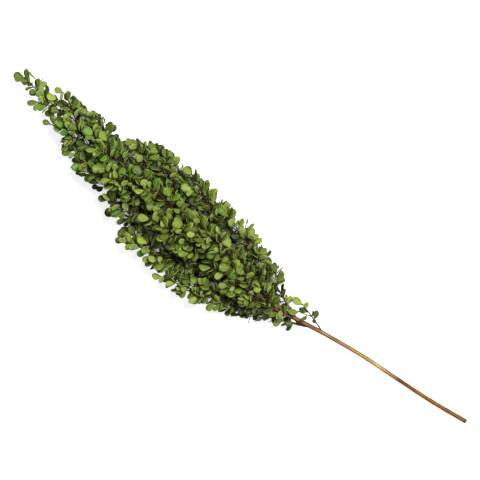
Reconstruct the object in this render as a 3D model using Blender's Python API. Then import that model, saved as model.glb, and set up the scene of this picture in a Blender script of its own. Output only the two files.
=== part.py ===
"""A cut branch of cape myrtle, lying on a flat surface.

+X runs from the cut end to the tip, +Z is up, and the surface is at Z = 0.
A bare woody stem carries leafy side sprays and ends in a leafy leader.
Each spray is one closed body: its twig, its side shoots and its leaves.
"""

import math
import random

import bmesh
import bpy
from mathutils import Matrix, Vector
from mathutils.bvhtree import BVHTree
from mathutils.geometry import interpolate_bezier

SEED = "cape myrtle"
UP = Vector((0, 0, 1))
BARK_COLOUR = (0.235, 0.122, 0.051)
LEAF_COLOUR = (0.16, 0.22, 0.05)

# The middle of the finished branch, counted from the cut end. It becomes the origin
BRANCH_MIDDLE = Vector((0.3114, 0.0253, 0))

# The stem's line: forward, sideways, height and radius. Its cut end lies on the surface
STEM_LINE = [
    (0.000, 0.0013, 0.0023, 0.0023),
    (0.045, 0.0070, 0.0034, 0.0021),
    (0.091, 0.0105, 0.0064, 0.0020),
    (0.134, 0.0137, 0.0110, 0.0021),
    (0.185, 0.0205, 0.0175, 0.0023),
    (0.225, 0.0270, 0.0225, 0.0025),
    (0.273, 0.0260, 0.0270, 0.0023),
    (0.325, 0.0250, 0.0300, 0.0021),
    (0.374, 0.0220, 0.0310, 0.0019),
    (0.426, 0.0170, 0.0305, 0.0017),
    (0.485, 0.0130, 0.0290, 0.0014),
    (0.540, 0.0070, 0.0270, 0.0012),
    (0.584, 0.0020, 0.0260, 0.0009),
    (0.612, 0.0000, 0.0265, 0.0006),
]
STEM_STRETCHES = 24
STEM_LOOK_AHEAD = 0.01
LEADER_FOOT = 0.540
LEADER_TIP = 0.612
LEADER_STRETCHES = 5
SEAT_GAP = 0.0003
STEM_SIDES_STEP, TWIG_SIDES_STEP = 2, 0
CAP_WELD = 1e-5

# Sprays: foot along the stem, then the twig tip's run forwards, reach sideways and height
LOW = 0.0008
SPRAYS = {
    "left": [
        (0.205, 0.110, 0.041, LOW),
        (0.237, 0.123, 0.056, 0.030),
        (0.273, 0.103, 0.050, 0.012),
        (0.302, 0.114, 0.055, 0.034),
        (0.324, 0.094, 0.046, 0.020),
        (0.343, 0.100, 0.042, LOW),
        (0.374, 0.084, 0.033, 0.036),
        (0.412, 0.084, 0.030, 0.012),
        (0.441, 0.078, 0.023, 0.034),
        (0.474, 0.050, 0.021, LOW),
        (0.503, 0.034, 0.012, 0.034),
        (0.526, 0.032, 0.017, 0.020),
    ],
    "right": [
        (0.190, 0.030, -0.017, 0.024),
        (0.222, 0.090, -0.034, LOW),
        (0.254, 0.092, -0.042, 0.030),
        (0.288, 0.086, -0.046, 0.012),
        (0.320, 0.082, -0.048, 0.034),
        (0.352, 0.076, -0.045, LOW),
        (0.382, 0.066, -0.042, 0.036),
        (0.408, 0.054, -0.037, 0.014),
        (0.430, 0.036, -0.030, 0.034),
        (0.458, 0.040, -0.017, LOW),
        (0.487, 0.036, -0.027, 0.032),
        (0.513, 0.034, -0.019, 0.016),
        (0.533, 0.034, -0.017, 0.032),
    ],
    "top": [
        (0.224, 0.100, 0.013, 0.050),
        (0.262, 0.104, -0.016, 0.060),
        (0.308, 0.100, 0.018, 0.062),
        (0.350, 0.094, -0.012, 0.060),
        (0.394, 0.086, 0.012, 0.056),
        (0.438, 0.074, -0.008, 0.050),
    ],
    "under": [
        (0.246, 0.090, 0.014, LOW),
        (0.312, 0.092, -0.012, LOW),
        (0.376, 0.086, 0.012, LOW),
    ],
}
# How far the foliage reaches to the left and to the right of X, at distances along the branch
FOLIAGE_EDGE = [
    (0.170, 0.034, -0.012),
    (0.210, 0.040, -0.012),
    (0.240, 0.051, -0.016),
    (0.270, 0.067, -0.022),
    (0.310, 0.083, -0.032),
    (0.345, 0.086, -0.036),
    (0.365, 0.091, -0.038),
    (0.385, 0.082, -0.038),
    (0.420, 0.081, -0.038),
    (0.440, 0.073, -0.038),
    (0.460, 0.058, -0.032),
    (0.475, 0.050, -0.026),
    (0.505, 0.049, -0.022),
    (0.530, 0.038, -0.020),
    (0.543, 0.025, -0.018),
    (0.565, 0.028, -0.022),
    (0.580, 0.022, -0.014),
    (0.600, 0.016, -0.013),
    (0.630, 0.011, -0.013),
]
SHOOT_EDGE_ROOM = 0.006
TWIG_TIP_RADIUS, TWIG_GIRTH = 0.00062, 0.0060
TWIG_STRETCH = 0.032
LEAVING_ANGLE = math.radians(28)
LEAVING_SHARE, ARRIVING_SHARE = 0.36, 0.34
END_SPLAY, END_DROP = 0.25, 0.15

# Side shoots on a spray
SHOOT_EVERY = 0.036
SHOOT_LENGTH = (0.018, 0.030)
SHOOT_RADIUS = (0.00072, 0.00060)
SHOOT_ANGLE = math.radians(38)
SHOOT_STRETCH = (0.20, 0.80)
SHOOT_SHRINK = (1.1, 0.65)
SHOOT_LIFT = (-0.35, 0.75)
SHOOT_BEND = 0.35
OUTER_SHARE = 0.72

# Leaves: an alternate spiral of blunt obovate blades, counted from each tip backwards
LEAF_LENGTH = (0.0118, 0.0145)
LEAF_WIDTH_SHARE = (0.74, 0.88)
LEAF_THICKNESS = 0.0006
LEAF_CORNERS = 6
LEAF_FULLNESS = 1.6
LEAF_STEP = 0.0050
LEAF_ANGLE = (42, 66)
TIP_LEAF_ANGLE = (10, 24)
GOLDEN_ANGLE = math.radians(137.5)
SPRAY_BARE, SHOOT_BARE = 0.013, 0.006
TIP_SINK, FLOOR_LEAF_SINK = 0.0004, 0.001

# How a leaf turns: looser at each further try, lifted a little, and faced to the tip and the sky
TRIES = 14
TRY_SHRINK = 0.97
TURN_LOOSE, TURN_LOOSER = 0.4, 0.2
LEAF_FLATTEN, LEAF_LIFT = 0.7, (0.0, 0.1)
FACE_TO_TIP, FACE_UP, FACE_JITTER = 0.6, 0.75, 0.36

# How close leaves and shoots come to each other and to wood, beyond the neck where they join
CLEARANCE = 0.00045
WOOD_CLEARANCE = 0.0015
WOOD_STEP = 0.0015
LEAF_NECK = 0.24
SHOOT_NECK = 0.006
GUARD_WIDTH = 0.94
NEIGHBOUR = 0.016


def material(name, colour, roughness):
    made = bpy.data.materials.new(name)
    made.use_nodes = True
    shader = made.node_tree.nodes["Principled BSDF"]
    shader.inputs["Base Color"].default_value = (*colour, 1)
    shader.inputs["Roughness"].default_value = roughness
    made.diffuse_color = (*colour, 1)
    return made


def between(pair, share):
    return pair[0] + (pair[1] - pair[0]) * share


def stem_at(forward):
    """The stem's centre and radius at a distance along X, on a smooth curve through STEM_LINE."""
    last = len(STEM_LINE) - 1
    i = next((n for n in range(last) if forward < STEM_LINE[n + 1][0]), last - 1)
    before, here = STEM_LINE[max(i - 1, 0)], STEM_LINE[i]
    there, after = STEM_LINE[i + 1], STEM_LINE[min(i + 2, last)]
    span = there[0] - here[0]
    t = (forward - here[0]) / span
    values = []
    for n in (1, 2, 3):
        slope_here = (there[n] - before[n]) / (there[0] - before[0]) * span
        slope_there = (after[n] - here[n]) / (after[0] - here[0]) * span
        values.append(
            here[n] * (1 + 2 * t) * (1 - t) ** 2
            + slope_here * t * (1 - t) ** 2
            + there[n] * t * t * (3 - 2 * t)
            - slope_there * t * t * (1 - t)
        )
    return Vector((forward, values[0], values[1])), values[2]


def edge_room(point):
    """How far a point lies inside the outline of the foliage, seen from above."""
    last = len(FOLIAGE_EDGE) - 2
    i = next((n for n in range(last) if point.x < FOLIAGE_EDGE[n + 1][0]), last)
    here, there = FOLIAGE_EDGE[i], FOLIAGE_EDGE[i + 1]
    share = (point.x - here[0]) / (there[0] - here[0])
    left, right = (between((here[n], there[n]), share) for n in (1, 2))
    return min(left - point.y, point.y - right)


def half_width(share):
    """Half the width of an obovate leaf of width 1, at a share of its length from the foot."""
    return 0.5 * math.sqrt(max(0.0, math.sin(math.pi * share**LEAF_FULLNESS)))


def leaf_solid(length, width, pose):
    """One blade in its place: a flat obovate plate whose foot is the pose's origin."""
    blade = bmesh.new()
    start = Matrix.Rotation(math.pi / 2, 4, "Z")
    bmesh.ops.create_circle(blade, cap_ends=True, segments=LEAF_CORNERS, radius=1, matrix=start)
    for corner in blade.verts:
        share = (1 + corner.co.x) / 2
        across = math.copysign(half_width(share), corner.co.y) * width
        corner.co = (share * length, across, -LEAF_THICKNESS / 2)
    raised = bmesh.ops.extrude_face_region(blade, geom=blade.faces[:])["geom"]
    top = [item for item in raised if isinstance(item, bmesh.types.BMVert)]
    bmesh.ops.translate(blade, verts=top, vec=(0, 0, LEAF_THICKNESS))
    bmesh.ops.recalc_face_normals(blade, faces=blade.faces[:])
    bmesh.ops.transform(blade, matrix=pose, verts=blade.verts[:])
    return blade


def guard_tree(length, width, pose, start):
    """The space that a leaf keeps for itself from a share of its length on, as a search tree."""
    guard = bmesh.new()
    bmesh.ops.create_cube(guard, size=1)
    foot = start * length
    reach = length + CLEARANCE - foot
    middle = Matrix.Translation((foot + reach / 2, 0, 0))
    sides = (reach, width * GUARD_WIDTH + 2 * CLEARANCE, LEAF_THICKNESS + 2 * CLEARANCE, 1)
    bmesh.ops.transform(guard, matrix=pose @ middle @ Matrix.Diagonal(sides), verts=guard.verts[:])
    tree = BVHTree.FromBMesh(guard)
    guard.free()
    return tree


def axis_frame(along):
    """Two directions square to a twig's axis: level to its left, and as near upright as can be."""
    level = UP.cross(along).normalized()
    return level, along.cross(level).normalized()


class Axis:
    """A twig or side shoot: its centre line, its radii and how far along it each point lies."""

    def __init__(self, name, node, points, radii, first_side=1):
        self.name = name
        self.node = node
        self.first_side = first_side
        self.points = points
        self.radii = radii
        self.reach = [0.0]
        for a, b in zip(points, points[1:]):
            self.reach.append(self.reach[-1] + (b - a).length)
        self.length = self.reach[-1]

    def at(self, distance):
        """The centre, direction and radius at a distance along the axis."""
        last = len(self.points) - 2
        i = next((n for n in range(last) if distance < self.reach[n + 1]), last)
        a, b = self.points[i], self.points[i + 1]
        share = (distance - self.reach[i]) / (self.reach[i + 1] - self.reach[i])
        return a.lerp(b, share), (b - a).normalized(), between(self.radii[i : i + 2], share)

    def lies_low(self):
        return self.points[-1].z < LOW + SEAT_GAP


def spray_axis(name, foot, run, sideways, height):
    """A spray's twig: it leaves the stem at an angle, then bends to run along the branch."""
    centre, girth = stem_at(foot)
    along = (stem_at(foot + STEM_LOOK_AHEAD)[0] - centre).normalized()
    forward = foot + run
    tip = Vector((forward, stem_at(min(forward, LEADER_TIP))[0].y + sideways, height))
    span = (tip - centre).length
    radius = TWIG_TIP_RADIUS + TWIG_GIRTH * span
    out = tip - centre
    out = (out - out.project(along)).normalized()
    start_way = along * math.cos(LEAVING_ANGLE) + out * math.sin(LEAVING_ANGLE)
    base = centre + out * (girth + SEAT_GAP + radius * math.cos(LEAVING_ANGLE))
    end_way = Vector((1, math.copysign(END_SPLAY, sideways), 0)).normalized()
    bend = base + start_way * span * LEAVING_SHARE
    lead = tip - end_way * span * ARRIVING_SHARE
    lead.z += (centre.z - tip.z) * END_DROP
    count = 3 + round(span / TWIG_STRETCH)
    points = interpolate_bezier(base, bend, lead, tip, count)
    radii = [between((radius, TWIG_TIP_RADIUS), i / (count - 1)) for i in range(count)]
    return Axis(name, name, points, radii, -math.copysign(1, sideways))


def spray_axes():
    return [
        spray_axis(f"{side}_spray_{k:02d}", *values)
        for side, rows in SPRAYS.items()
        for k, values in enumerate(rows, 1)
    ]


def stretch_of_stem(name, start, end, steps):
    line = [stem_at(between((start, end), i / steps)) for i in range(steps + 1)]
    return Axis(name, name, [point for point, _ in line], [radius for _, radius in line])


class Branch:
    """What is already placed: the wood as spots along each axis, and the leaves as search trees."""

    def __init__(self):
        self.spots = []
        self.leaves = []

    def add_wood(self, axis):
        distance = 0.0
        while distance <= axis.length:
            centre, _, radius = axis.at(distance)
            self.spots.append((centre, radius, axis.node))
            distance += WOOD_STEP

    def wood_is_clear(self, axis):
        """Whether a side shoot keeps off the surface and off all wood, beyond its neck."""
        if edge_room(axis.points[-1]) < SHOOT_EDGE_ROOM:
            return False
        distance = SHOOT_NECK
        while distance < axis.length:
            point, _, radius = axis.at(distance)
            if point.z < radius + CLEARANCE:
                return False
            for centre, other, node in self.spots:
                room = WOOD_CLEARANCE if node != axis.node else 0
                if (point - centre).length < radius + other + room:
                    return False
            distance += WOOD_STEP
        return True

    def leaf_is_clear(self, node, pose, length, width, solid):
        """Whether a leaf keeps in the outline and off the surface, the wood and other leaves."""
        if min(corner.co.z for corner in solid.verts) < CLEARANCE:
            return False
        if min(edge_room(corner.co) for corner in solid.verts) < 0:
            return False
        middle = pose @ Vector((length / 2, 0, 0))
        to_leaf = pose.inverted()
        for centre, radius, owner in self.spots:
            if (centre - middle).length > length:
                continue
            spot = to_leaf @ centre
            room = radius + CLEARANCE
            start = LEAF_NECK * length if owner == node else -room
            if start < spot.x < length + room and abs(spot.y) < width / 2 + room:
                if abs(spot.z) < LEAF_THICKNESS + room:
                    return False
        near_guard = guard_tree(length, width, pose, LEAF_NECK)
        far_guard = guard_tree(length, width, pose, 0)
        for centre, tree, owner in self.leaves:
            if (centre - middle).length < NEIGHBOUR:
                if (near_guard if owner == node else far_guard).overlap(tree):
                    return False
        return True

    def keep_leaf(self, node, pose, length, solid):
        self.leaves.append((pose @ Vector((length / 2, 0, 0)), BVHTree.FromBMesh(solid), node))


def side_shoots(branch, axis):
    """Short shoots that leave a twig forwards by turns, the first on the side of the stem."""
    shoots = []
    count = round(axis.length / SHOOT_EVERY)
    for k in range(count):
        rule = random.Random(f"{SEED} {axis.name} shoot {k}")
        distance = axis.length * between(SHOOT_STRETCH, (k + 0.5) / count)
        start, along, _ = axis.at(distance)
        level, upright = axis_frame(along)
        length = rule.uniform(*SHOOT_LENGTH) * between(SHOOT_SHRINK, distance / axis.length)
        length *= OUTER_SHARE if k % 2 else 1
        side = axis.first_side * (-1) ** k
        for _ in range(TRIES):
            length *= TRY_SHRINK
            lift = rule.uniform(*SHOOT_LIFT)
            out = level * side * math.cos(lift) + upright * math.sin(lift)
            way = along * math.cos(SHOOT_ANGLE) + out * math.sin(SHOOT_ANGLE)
            bend = (way + along * SHOOT_BEND).normalized()
            middle = start + way * length / 2
            points = [start, middle, middle + bend * length / 2]
            radii = [between(SHOOT_RADIUS, share) for share in (0, 0.5, 1)]
            shoot = Axis(f"{axis.name} shoot {k}", axis.node, points, radii)
            if branch.wood_is_clear(shoot):
                branch.add_wood(shoot)
                shoots.append(shoot)
                break
    return shoots


def leaf_pose(foot, way, face):
    """Where a leaf sits: its foot, its direction and the way that its upper side faces."""
    along = way.normalized()
    across = face.cross(along).normalized()
    turn = Matrix((along, across, along.cross(across))).transposed().to_4x4()
    return Matrix.Translation(foot) @ turn


def grow_leaf(branch, axis, slot):
    """One leaf at its slot on an axis, turned until it is clear of its neighbours, or None."""
    rule = random.Random(f"{SEED} {axis.name} leaf {slot}")
    foot, along, _ = axis.at(axis.length - TIP_SINK - slot * LEAF_STEP)
    level, upright = axis_frame(along)
    for attempt in range(TRIES):
        length = rule.uniform(*LEAF_LENGTH) * TRY_SHRINK**attempt
        width = length * rule.uniform(*LEAF_WIDTH_SHARE)
        loose = TURN_LOOSE + TURN_LOOSER * attempt
        turn = slot * GOLDEN_ANGLE + rule.uniform(-loose, loose)
        angle = math.radians(rule.uniform(*(LEAF_ANGLE if slot else TIP_LEAF_ANGLE)))
        out = level * math.cos(turn) + upright * math.sin(turn)
        way = along * math.cos(angle) + out * math.sin(angle)
        way.z = way.z * LEAF_FLATTEN + rule.uniform(*LEAF_LIFT)
        face = along * math.sin(angle) - out * math.cos(angle)
        jitter = Vector([rule.gauss(0, FACE_JITTER) for _ in range(3)])
        pose = leaf_pose(foot, way, face * FACE_TO_TIP + UP * FACE_UP + jitter)
        solid = leaf_solid(length, width, pose)
        if branch.leaf_is_clear(axis.node, pose, length, width, solid):
            branch.keep_leaf(axis.node, pose, length, solid)
            return solid
        solid.free()
    return None


def floor_leaf(branch, axis):
    """The end leaf of a spray that lies on the surface: level, with its underside at Z = 0."""
    tip, along, _ = axis.at(axis.length)
    way = Vector((along.x, along.y, 0)).normalized()
    length = sum(LEAF_LENGTH) / 2
    width = length * sum(LEAF_WIDTH_SHARE) / 2
    foot = Vector((tip.x, tip.y, LEAF_THICKNESS / 2)) - way * FLOOR_LEAF_SINK
    pose = leaf_pose(foot, way, UP)
    solid = leaf_solid(length, width, pose)
    branch.keep_leaf(axis.node, pose, length, solid)
    return solid


def grow_leaves(branch, axis, bare):
    """Every second leaf of an axis, from its tip back to its bare foot."""
    slots = range(0, int((axis.length - bare) / LEAF_STEP) + 1, 2)
    grown = [grow_leaf(branch, axis, slot) for slot in slots if slot or not axis.lies_low()]
    return [leaf for leaf in grown if leaf]


def wood_object(axis, sides_step):
    """An axis as a tube of flat-ended wood, made a mesh with its caps welded."""
    line = bpy.data.curves.new(axis.name, "CURVE")
    line.dimensions = "3D"
    line.bevel_depth = TWIG_TIP_RADIUS
    line.bevel_resolution = sides_step
    line.use_fill_caps = True
    spline = line.splines.new("POLY")
    spline.points.add(len(axis.points) - 1)
    for point, centre, radius in zip(spline.points, axis.points, axis.radii):
        point.co = (*(centre - BRANCH_MIDDLE), 1)
        point.radius = radius / line.bevel_depth
    guide = bpy.data.objects.new(axis.name, line)
    bpy.context.scene.collection.objects.link(guide)
    graph = bpy.context.evaluated_depsgraph_get()
    mesh = bpy.data.meshes.new_from_object(guide.evaluated_get(graph))
    bpy.data.objects.remove(guide)
    bpy.data.curves.remove(line)
    tube = bmesh.new()
    tube.from_mesh(mesh)
    bmesh.ops.remove_doubles(tube, verts=tube.verts[:], dist=CAP_WELD)
    tube.to_mesh(mesh)
    tube.free()
    mesh.name = axis.name
    return bpy.data.objects.new(axis.name, mesh)


def leaf_object(solid):
    """A grown leaf as an object, moved to the branch's origin."""
    bmesh.ops.translate(solid, verts=solid.verts[:], vec=-BRANCH_MIDDLE)
    mesh = bpy.data.meshes.new("leaf")
    solid.to_mesh(mesh)
    solid.free()
    return bpy.data.objects.new("leaf", mesh)


def fuse(twig, repeats):
    """Joins the leaves and side shoots to their twig in one Boolean union, and applies it."""
    gathered = bpy.data.collections.new("repeats")
    bpy.context.scene.collection.children.link(gathered)
    for piece in repeats:
        gathered.objects.link(piece)
    union = twig.modifiers.new("fuse", "BOOLEAN")
    union.operation = "UNION"
    union.operand_type = "COLLECTION"
    union.collection = gathered
    union.solver = "MANIFOLD"
    graph = bpy.context.evaluated_depsgraph_get()
    joined = bpy.data.meshes.new_from_object(twig.evaluated_get(graph))
    twig.modifiers.clear()
    twig.data = joined
    for piece in repeats:
        bpy.data.objects.remove(piece)
    bpy.data.collections.remove(gathered)


def finish(piece, surface):
    piece.data.shade_smooth()
    piece.data.set_sharp_from_angle(angle=math.radians(40))
    piece.data.materials.clear()
    piece.data.materials.append(surface)


def main():
    for item in list(bpy.data.objects):
        bpy.data.objects.remove(item)
    bark = material("bark", BARK_COLOUR, 0.7)
    leaf_green = material("leaf", LEAF_COLOUR, 0.45)
    whole = bpy.data.collections.new("cape_myrtle_branch")
    bpy.context.scene.collection.children.link(whole)

    branch = Branch()
    stem = stretch_of_stem("main_stem", 0, LEADER_FOOT, STEM_STRETCHES)
    leader = stretch_of_stem("leader", LEADER_FOOT + SEAT_GAP, LEADER_TIP, LEADER_STRETCHES)
    twigs = [leader, *spray_axes()]
    for axis in (stem, *twigs):
        branch.add_wood(axis)
    shoots = {axis.name: side_shoots(branch, axis) for axis in twigs}
    leaves = {axis.name: [floor_leaf(branch, axis)] if axis.lies_low() else [] for axis in twigs}
    for axis in twigs:
        leaves[axis.name] += grow_leaves(branch, axis, SPRAY_BARE)
        for shoot in shoots[axis.name]:
            leaves[axis.name] += grow_leaves(branch, shoot, SHOOT_BARE)

    wood = wood_object(stem, STEM_SIDES_STEP)
    whole.objects.link(wood)
    finish(wood, bark)
    for axis in twigs:
        spray = wood_object(axis, TWIG_SIDES_STEP)
        whole.objects.link(spray)
        repeats = [wood_object(shoot, TWIG_SIDES_STEP) for shoot in shoots[axis.name]]
        repeats += [leaf_object(solid) for solid in leaves[axis.name]]
        fuse(spray, repeats)
        finish(spray, leaf_green)


main()
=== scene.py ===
import math
import random
from collections import Counter

import bmesh
import bpy
from mathutils import Matrix, Vector
from mathutils.bvhtree import BVHTree
from mathutils.geometry import interpolate_bezier
from mathutils.kdtree import KDTree


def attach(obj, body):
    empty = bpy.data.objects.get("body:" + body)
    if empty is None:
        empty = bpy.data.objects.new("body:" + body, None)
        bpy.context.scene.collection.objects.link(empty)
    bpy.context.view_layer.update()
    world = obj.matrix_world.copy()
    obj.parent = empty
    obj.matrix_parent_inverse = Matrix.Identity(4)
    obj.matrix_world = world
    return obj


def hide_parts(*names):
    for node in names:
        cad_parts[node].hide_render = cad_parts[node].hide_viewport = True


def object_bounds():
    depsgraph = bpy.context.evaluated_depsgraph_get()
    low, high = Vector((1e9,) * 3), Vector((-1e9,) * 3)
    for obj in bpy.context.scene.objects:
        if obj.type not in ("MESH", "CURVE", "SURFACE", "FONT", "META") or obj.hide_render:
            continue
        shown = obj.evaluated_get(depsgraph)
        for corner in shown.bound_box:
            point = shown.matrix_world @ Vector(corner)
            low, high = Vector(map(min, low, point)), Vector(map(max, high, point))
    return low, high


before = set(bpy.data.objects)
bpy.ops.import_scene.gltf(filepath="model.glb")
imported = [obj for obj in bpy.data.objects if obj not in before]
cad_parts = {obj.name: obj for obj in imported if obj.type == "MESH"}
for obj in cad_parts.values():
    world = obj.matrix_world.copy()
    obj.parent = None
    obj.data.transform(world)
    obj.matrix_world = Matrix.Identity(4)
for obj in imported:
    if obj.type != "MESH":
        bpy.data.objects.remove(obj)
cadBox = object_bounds()
print("the packed branch is loaded")

up = Vector((0, 0, 1))
seed = "cape myrtle"
branchMiddle = Vector((0.3114, 0.0253, 0))  # counted from the cut end, it is the origin

# The stem's line: forward, sideways, height and radius
stemPlan = {
    "line": [
        (0.000, 0.0013, 0.0023, 0.0023),
        (0.045, 0.0070, 0.0034, 0.0021),
        (0.091, 0.0105, 0.0064, 0.0020),
        (0.134, 0.0137, 0.0110, 0.0021),
        (0.185, 0.0205, 0.0175, 0.0023),
        (0.225, 0.0270, 0.0225, 0.0025),
        (0.273, 0.0260, 0.0270, 0.0023),
        (0.325, 0.0250, 0.0300, 0.0021),
        (0.374, 0.0220, 0.0310, 0.0019),
        (0.426, 0.0170, 0.0305, 0.0017),
        (0.485, 0.0130, 0.0290, 0.0014),
        (0.540, 0.0070, 0.0270, 0.0012),
        (0.584, 0.0020, 0.0260, 0.0009),
        (0.612, 0.0000, 0.0265, 0.0006),
    ],
    "stretches": 24,
    "lookAhead": 0.01,
    "leaderFoot": 0.540,
    "leaderTip": 0.612,
    "leaderStretches": 5,
    "seatGap": 0.0003,
}

# Sprays: foot along the stem, then the twig tip's run forwards, reach sideways and height
low = 0.0008
sprayPlan = {
    "rows": {
        "left": [
            (0.205, 0.110, 0.041, low),
            (0.237, 0.123, 0.056, 0.030),
            (0.273, 0.103, 0.050, 0.012),
            (0.302, 0.114, 0.055, 0.034),
            (0.324, 0.094, 0.046, 0.020),
            (0.343, 0.100, 0.042, low),
            (0.374, 0.084, 0.033, 0.036),
            (0.412, 0.084, 0.030, 0.012),
            (0.441, 0.078, 0.023, 0.034),
            (0.474, 0.050, 0.021, low),
            (0.503, 0.034, 0.012, 0.034),
            (0.526, 0.032, 0.017, 0.020),
        ],
        "right": [
            (0.190, 0.030, -0.017, 0.024),
            (0.222, 0.090, -0.034, low),
            (0.254, 0.092, -0.042, 0.030),
            (0.288, 0.086, -0.046, 0.012),
            (0.320, 0.082, -0.048, 0.034),
            (0.352, 0.076, -0.045, low),
            (0.382, 0.066, -0.042, 0.036),
            (0.408, 0.054, -0.037, 0.014),
            (0.430, 0.036, -0.030, 0.034),
            (0.458, 0.040, -0.017, low),
            (0.487, 0.036, -0.027, 0.032),
            (0.513, 0.034, -0.019, 0.016),
            (0.533, 0.034, -0.017, 0.032),
        ],
        "top": [
            (0.224, 0.100, 0.013, 0.050),
            (0.262, 0.104, -0.016, 0.060),
            (0.308, 0.100, 0.018, 0.062),
            (0.350, 0.094, -0.012, 0.060),
            (0.394, 0.086, 0.012, 0.056),
            (0.438, 0.074, -0.008, 0.050),
        ],
        "under": [
            (0.246, 0.090, 0.014, low),
            (0.312, 0.092, -0.012, low),
            (0.376, 0.086, 0.012, low),
        ],
    },
    "tipRadius": 0.00062,
    "girth": 0.0060,
    "stretch": 0.032,
    "leavingAngle": math.radians(28),
    "leavingShare": 0.36,
    "arrivingShare": 0.34,
    "endSplay": 0.25,
    "endDrop": 0.15,
    "bareFoot": 0.013,
}

# How far the foliage reaches to the left and to the right of X, at distances along the branch
foliageEdge = [
    (0.170, 0.034, -0.012),
    (0.210, 0.040, -0.012),
    (0.240, 0.051, -0.016),
    (0.270, 0.067, -0.022),
    (0.310, 0.083, -0.032),
    (0.345, 0.086, -0.036),
    (0.365, 0.091, -0.038),
    (0.385, 0.082, -0.038),
    (0.420, 0.081, -0.038),
    (0.440, 0.073, -0.038),
    (0.460, 0.058, -0.032),
    (0.475, 0.050, -0.026),
    (0.505, 0.049, -0.022),
    (0.530, 0.038, -0.020),
    (0.543, 0.025, -0.018),
    (0.565, 0.028, -0.022),
    (0.580, 0.022, -0.014),
    (0.600, 0.016, -0.013),
    (0.630, 0.011, -0.013),
]

shootPlan = {
    "every": 0.036,
    "length": (0.018, 0.030),
    "edgeRoom": 0.006,
    "radius": (0.00072, 0.00060),
    "angle": math.radians(38),
    "stretch": (0.20, 0.80),
    "shrink": (1.1, 0.65),
    "lift": (-0.35, 0.75),
    "bend": 0.35,
    "outerShare": 0.72,
    "bareFoot": 0.006,
    "tries": 14,
}

leafPlan = {
    "length": (0.0118, 0.0145),
    "widthShare": (0.74, 0.88),
    "thickness": 0.0006,
    "fullness": 1.6,
    "step": 0.0050,
    "angle": (42, 66),
    "tipAngle": (10, 24),
    "goldenAngle": math.radians(137.5),
    "tipSink": 0.0004,
    "floorSink": 0.001,
    "tries": 14,
    "tryShrink": 0.97,
    "turnLoose": 0.4,
    "turnLooser": 0.2,
    "flatten": 0.7,
    "lift": (0.0, 0.1),
    "faceToTip": 0.6,
}

# How close leaves and shoots come to each other and to wood, beyond the neck where they join
clearPlan = {
    "room": 0.00045,
    "woodRoom": 0.0015,
    "woodStep": 0.0015,
    "leafNeck": 0.24,
    "shootNeck": 0.006,
    "guardWidth": 0.94,
    "neighbour": 0.016,
    "cell": 0.017,
}

# The leaves that the solids hold, and those that are added between them
leafKinds = {
    "solid": {
        "room": clearPlan["room"],
        "thickness": leafPlan["thickness"],
        "faceUp": 0.75,
        "faceJitter": 0.36,
        "sizes": (1, 1),
        "broad": 1,
        "keepInBox": False,
    },
    "added": {
        "room": 0.0001,
        "thickness": 0.00035,
        "faceUp": 0.60,
        "faceJitter": 0.48,
        "sizes": (0.84, 1.0),  # where the foliage starts, and from its middle on
        "broad": 0.88,
        "keepInBox": True,
    },
}
foliageRise = (0.20, 0.45)


def between(pair, share):
    return pair[0] + (pair[1] - pair[0]) * share


def shareOf(value, pair):
    return min(max((value - pair[0]) / (pair[1] - pair[0]), 0), 1)


# The stem's centre and radius at a distance along X, on a smooth curve through its line
def stemAt(forward):
    line = stemPlan["line"]
    last = len(line) - 1
    i = next((n for n in range(last) if forward < line[n + 1][0]), last - 1)
    before, here = line[max(i - 1, 0)], line[i]
    there, after = line[i + 1], line[min(i + 2, last)]
    span = there[0] - here[0]
    t = (forward - here[0]) / span
    values = []
    for n in (1, 2, 3):
        slopeHere = (there[n] - before[n]) / (there[0] - before[0]) * span
        slopeThere = (after[n] - here[n]) / (after[0] - here[0]) * span
        values.append(
            here[n] * (1 + 2 * t) * (1 - t) ** 2
            + slopeHere * t * (1 - t) ** 2
            + there[n] * t * t * (3 - 2 * t)
            - slopeThere * t * t * (1 - t)
        )
    return Vector((forward, values[0], values[1])), values[2]


# How far a point lies inside the outline of the foliage, seen from above
def edgeRoom(point):
    last = len(foliageEdge) - 2
    i = next((n for n in range(last) if point.x < foliageEdge[n + 1][0]), last)
    here, there = foliageEdge[i], foliageEdge[i + 1]
    share = (point.x - here[0]) / (there[0] - here[0])
    left, right = (between((here[n], there[n]), share) for n in (1, 2))
    return min(left - point.y, point.y - right)


def halfWidth(share):
    return 0.5 * math.sqrt(max(0.0, math.sin(math.pi * share ** leafPlan["fullness"])))


# A leaf as its solid has it: a flat plate whose foot is the pose's origin
def leafSolid(length, width, pose, thickness=leafPlan["thickness"]):
    blade = bmesh.new()
    start = Matrix.Rotation(math.pi / 2, 4, "Z")
    bmesh.ops.create_circle(blade, cap_ends=True, segments=6, radius=1, matrix=start)
    for corner in blade.verts:
        share = (1 + corner.co.x) / 2
        across = math.copysign(halfWidth(share), corner.co.y) * width
        corner.co = (share * length, across, -thickness / 2)
    raised = bmesh.ops.extrude_face_region(blade, geom=blade.faces[:])["geom"]
    top = [item for item in raised if isinstance(item, bmesh.types.BMVert)]
    bmesh.ops.translate(blade, verts=top, vec=(0, 0, thickness))
    bmesh.ops.recalc_face_normals(blade, faces=blade.faces[:])
    bmesh.ops.transform(blade, matrix=pose, verts=blade.verts[:])
    return blade


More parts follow.
